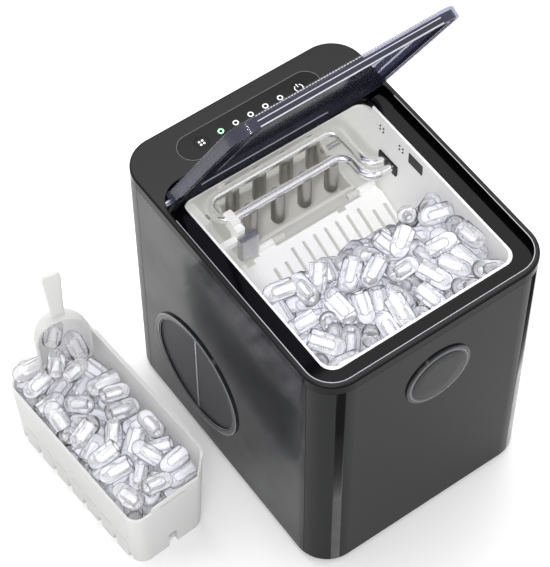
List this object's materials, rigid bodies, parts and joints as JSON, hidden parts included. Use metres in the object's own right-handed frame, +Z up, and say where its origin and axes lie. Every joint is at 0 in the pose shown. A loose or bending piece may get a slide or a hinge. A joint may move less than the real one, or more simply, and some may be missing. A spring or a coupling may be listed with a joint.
{
  "type": "countertop ice maker",
  "caption": "Tall box-shaped countertop ice maker with a hinged smoked lid, tilting water tray, ice pusher, and a lift-out basket with scoop.",
  "frame": {"origin": "On the floor plane, at the middle of the footprint of the whole set: the machine with its ice basket standing at its left.", "axes": "+Z is up and -Y is the machine's front; +X is the machine's right seen from the front. The set is longest along Z, with the lid open."},
  "size_m": [0.355, 0.2928, 0.4724],
  "materials": {
    "side_gloss": "high gloss",
    "front_gloss": "high gloss",
    "satin_black": "fine satin",
    "panel_black": "gloss",
    "key_black": "gloss",
    "led_white": "translucent",
    "badge_black": "gloss",
    "vent_black": "satin",
    "foot_rubber": "matte",
    "steel": "plain",
    "lid_smoke": "smoked, clear",
    "lid_frame": "gloss",
    "liner_white": "fine satin",
    "foam_white": "matte",
    "nickel": "bright",
    "tray_grey": "satin",
    "pusher_white": "satin",
    "motor_black": "matte",
    "sheet_steel": "satin",
    "compressor_black": "satin",
    "copper": "plain",
    "fin_aluminium": "plain",
    "board_green": "satin",
    "hose_clear": "satin",
    "basket_white": "translucent, satin",
    "sensor_dark": "gloss"
  },
  "bodies": {
    "machine": {"front_panel": "front_gloss", "left_side_panel": "side_gloss", "right_side_panel": "side_gloss", "rear_cover": "satin_black", "base_pan": "sheet_steel", "rubber_feet": "foot_rubber", "case_screws": "steel", "top_cover": "satin_black", "control_panel": "panel_black", "led_rings": "led_white", "display_board": "board_green", "front_badge": "badge_black", "side_vent_ring": "badge_black", "side_vent_grille": "vent_black", "inner_liner": "liner_white", "tube_grommet": "sensor_dark", "sensor_window": "sensor_dark", "sensor_lenses": "sensor_dark", "foam_insulation": "foam_white", "bin_drain_grid": "pusher_white", "evaporator_tube": "nickel", "freezing_fingers": "nickel", "evaporator_bracket": "pusher_white", "splash_guard": "basket_white", "fill_spout": "pusher_white", "tray_motor": "motor_black", "compressor": "compressor_black", "compressor_mounts": "foot_rubber", "relay_cover": "motor_black", "condenser_fins": "fin_aluminium", "condenser_coil": "copper", "fan_shroud": "motor_black", "fan_motor": "motor_black", "discharge_pipe": "copper", "filter_drier": "copper", "suction_pipe": "copper", "hot_gas_valve": "steel", "water_pump": "motor_black", "water_hose": "hose_clear", "pump_bracket": "sheet_steel", "level_float": "pusher_white", "drain_hose": "hose_clear", "drain_socket": "motor_black", "cable_gland": "motor_black", "control_board": "board_green"},
    "lid": {"lid_shell": "lid_smoke", "lid_inner_frame": "lid_frame", "lid_magnet_holder": "lid_frame", "lid_hinge_pins": "steel"},
    "tray": {"water_tray": "tray_grey", "tray_shafts": "steel", "pusher_pins": "steel"},
    "pusher": {"ice_pusher": "pusher_white"},
    "fan": {"fan_rotor": "motor_black"},
    "power_key": {"power_button": "key_black"},
    "mode_key": {"mode_button": "key_black"},
    "drain_cap": {"drain_plug": "foot_rubber"},
    "basket": {"ice_basket": "basket_white"},
    "scoop": {"ice_scoop": "basket_white"}
  },
  "joints": [
    {"name": "lid_hinge", "type": "hinge", "parent": "machine", "child": "lid", "pos_m": [0.06553, 0.07656, 0.281], "axis": [-1, 0, 0], "range_deg": [-62.5, 27]},
    {"name": "tray_tilt", "type": "hinge", "parent": "machine", "child": "tray", "pos_m": [0.07753, 0.09656, 0.2], "axis": [1, 0, 0], "range_deg": [0, 55]},
    {"name": "pusher_hinge", "type": "hinge", "parent": "tray", "child": "pusher", "pos_m": [0.07753, 0.05056, 0.19], "axis": [1, 0, 0], "range_deg": [-55, 0]},
    {"name": "fan_spin", "type": "hinge", "parent": "machine", "child": "fan", "pos_m": [-0.01447, 0.03206, 0.094], "axis": [1, 0, 0], "continuous": true},
    {"name": "power_press", "type": "slide", "parent": "machine", "child": "power_key", "axis": [0, 0, -1], "range_m": [0, 0.0008], "stiffness_N_per_m": 400},
    {"name": "mode_press", "type": "slide", "parent": "machine", "child": "mode_key", "axis": [0, 0, -1], "range_m": [0, 0.0008], "stiffness_N_per_m": 400},
    {"name": "drain_pull", "type": "slide", "parent": "machine", "child": "drain_cap", "axis": [0, 1, 0], "range_m": [0, 0.03]},
    {"name": "basket_lift", "type": "slide", "parent": "machine", "child": "basket", "axis": [0, 0, 1], "range_m": [0, 0.16]},
    {"name": "scoop_lift", "type": "slide", "parent": "basket", "child": "scoop", "axis": [0, 0, 1], "range_m": [0, 0.13]}
  ],
  "couplings": [
    {"joint": "pusher_hinge", "follows": "tray_tilt", "ratio": -1}
  ]
}
